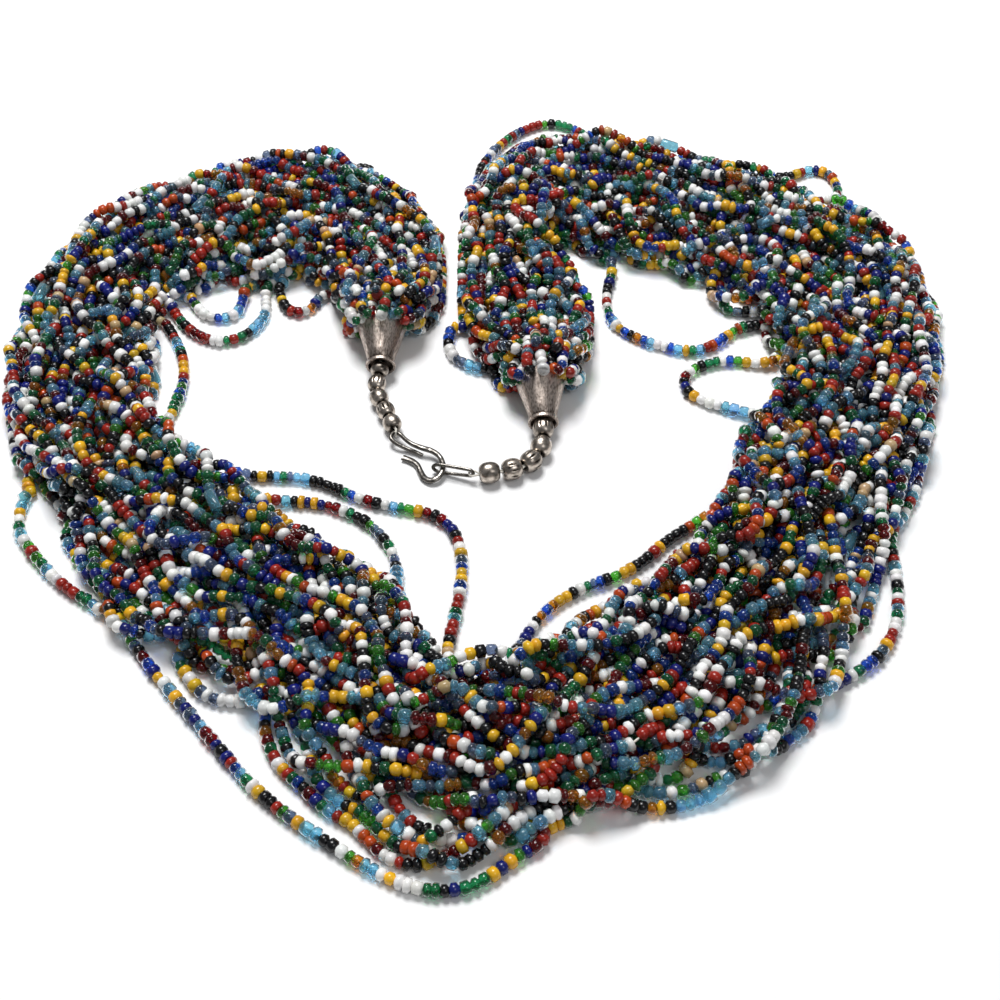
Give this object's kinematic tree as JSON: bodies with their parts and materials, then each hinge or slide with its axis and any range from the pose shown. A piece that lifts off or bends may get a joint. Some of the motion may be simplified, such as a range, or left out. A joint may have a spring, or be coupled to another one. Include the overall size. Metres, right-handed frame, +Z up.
{
  "type": "multi strand necklace",
  "caption": "Multi strand necklace of mixed seed beads, laid flat in a heart, with silver end cones, small silver beads and a hook and eye clasp",
  "frame": {"origin": "on the surface that the necklace lies on, at the middle of the ground that it covers", "axes": "+Z up, +Y away from the front point of the heart, +X to the right, towards the side that ends in the eye"},
  "size_m": [0.1926, 0.2082, 0.0149],
  "materials": {
    "glass_beads": "mixed opaque and clear glass seed beads, glossy",
    "silver_cones": "tarnished sheet silver with darkened seams",
    "silver_beads": "worn silver, dark in the flutes and between the beads",
    "silver_wire": "oxidised hammered silver wire",
    "thread": "plain white stringing thread"
  },
  "bodies": {
    "root": {"strand_bundle": "glass_beads", "loose_strand_1": "glass_beads", "loose_strand_2": "glass_beads", "loose_strand_3": "glass_beads", "loose_strand_4": "glass_beads", "loose_strand_5": "glass_beads", "loose_strand_6": "glass_beads", "loose_strand_7": "glass_beads", "loose_strand_8": "glass_beads", "loose_strand_9": "glass_beads", "loose_strand_10": "glass_beads", "loose_strand_11": "glass_beads", "loose_strand_12": "glass_beads", "loose_strand_13": "glass_beads", "loose_strand_14": "glass_beads", "loose_strand_15": "glass_beads", "end_cone_left": "silver_cones", "end_cone_right": "silver_cones", "silver_bead_left_1": "silver_beads", "silver_bead_left_2": "silver_beads", "silver_bead_left_3": "silver_beads", "silver_bead_left_4": "silver_beads", "silver_bead_left_5": "silver_beads", "silver_bead_right_1": "silver_beads", "silver_bead_right_2": "silver_beads", "silver_bead_right_3": "silver_beads", "silver_bead_right_4": "silver_beads", "silver_bead_right_5": "silver_beads", "thread_left": "thread", "thread_right": "thread", "clasp_hook": "silver_wire", "clasp_eye": "silver_wire"}
  },
  "joints": []
}
